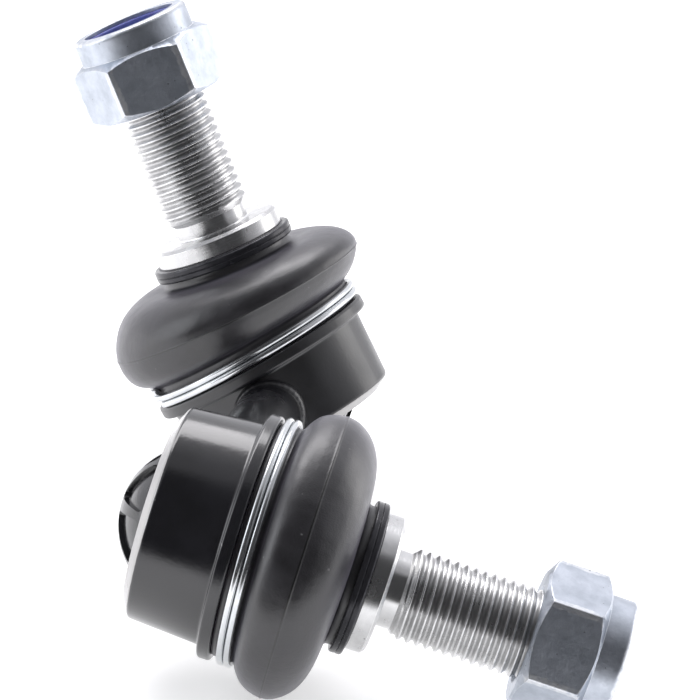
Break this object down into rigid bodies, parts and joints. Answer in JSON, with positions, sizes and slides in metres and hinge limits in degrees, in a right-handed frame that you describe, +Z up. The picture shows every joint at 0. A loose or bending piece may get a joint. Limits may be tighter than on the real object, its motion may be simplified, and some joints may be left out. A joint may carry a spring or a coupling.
{
  "type": "anti-roll bar link",
  "caption": "Short anti-roll bar link: a round rod with a rubber-booted ball joint and a threaded stud with a self-locking nut at each end.",
  "frame": {"origin": "on the floor, under the middle of the link's bounding box, the link lying at rest as pictured", "axes": "+Y along the rod in plan, from the near joint to the far joint; +Z up; +X towards the near joint's stud"},
  "size_m": [0.0918, 0.118, 0.0655],
  "materials": {
    "black_paint": "semi-gloss",
    "cap_steel": "semi-gloss",
    "seat_plastic": "matt",
    "machined_steel": "turned",
    "boot_rubber": "matt",
    "clamp_wire": "bright",
    "neck_ring": "satin",
    "zinc_plate": "zinc plated, satin",
    "insert_nylon": "satin"
  },
  "bodies": {
    "root": {"link_rod": "black_paint", "front_weld": "black_paint", "front_housing": "black_paint", "front_ball_seat": "seat_plastic", "front_end_cap": "cap_steel", "front_boot": "boot_rubber", "front_clamp_wire": "clamp_wire", "rear_weld": "black_paint", "rear_housing": "black_paint", "rear_ball_seat": "seat_plastic", "rear_end_cap": "cap_steel", "rear_boot": "boot_rubber", "rear_clamp_wire": "clamp_wire"},
    "front_neck": {"front_neck_ring": "neck_ring"},
    "front_stud": {"front_ball_stud": "machined_steel"},
    "front_nut": {"front_lock_nut": "zinc_plate", "front_nylon_insert": "insert_nylon"},
    "rear_neck": {"rear_neck_ring": "neck_ring"},
    "rear_stud": {"rear_ball_stud": "machined_steel"},
    "rear_nut": {"rear_lock_nut": "zinc_plate", "rear_nylon_insert": "insert_nylon"}
  },
  "joints": [
    {"name": "front_swing", "type": "hinge", "parent": "root", "child": "front_neck", "pos_m": [-0.00948, -0.04055, 0.02101], "axis": [0.1332, 0.5479, 0.8259], "range_deg": [-32, 18], "deforming": ["front_boot"]},
    {"name": "front_spin", "type": "hinge", "parent": "front_neck", "child": "front_stud", "pos_m": [-0.00948, -0.04055, 0.02101], "axis": [0.9731, 0.0856, -0.2138], "continuous": true},
    {"name": "front_nut_run", "type": "slide", "parent": "front_stud", "child": "front_nut", "axis": [0.9731, 0.0856, -0.2138], "range_m": [-0.01905, 0.035]},
    {"name": "rear_swing", "type": "hinge", "parent": "root", "child": "rear_neck", "pos_m": [-0.01219, 0.03914, 0.01383], "axis": [0.1794, 0.9834, 0.028], "range_deg": [-33.2, 16.8], "deforming": ["rear_boot"]},
    {"name": "rear_spin", "type": "hinge", "parent": "rear_neck", "child": "rear_stud", "pos_m": [-0.01219, 0.03914, 0.01383], "axis": [-0.4862, 0.0639, 0.8715], "continuous": true},
    {"name": "rear_nut_run", "type": "slide", "parent": "rear_stud", "child": "rear_nut", "axis": [-0.4862, 0.0639, 0.8715], "range_m": [-0.01905, 0.035]}
  ]
}
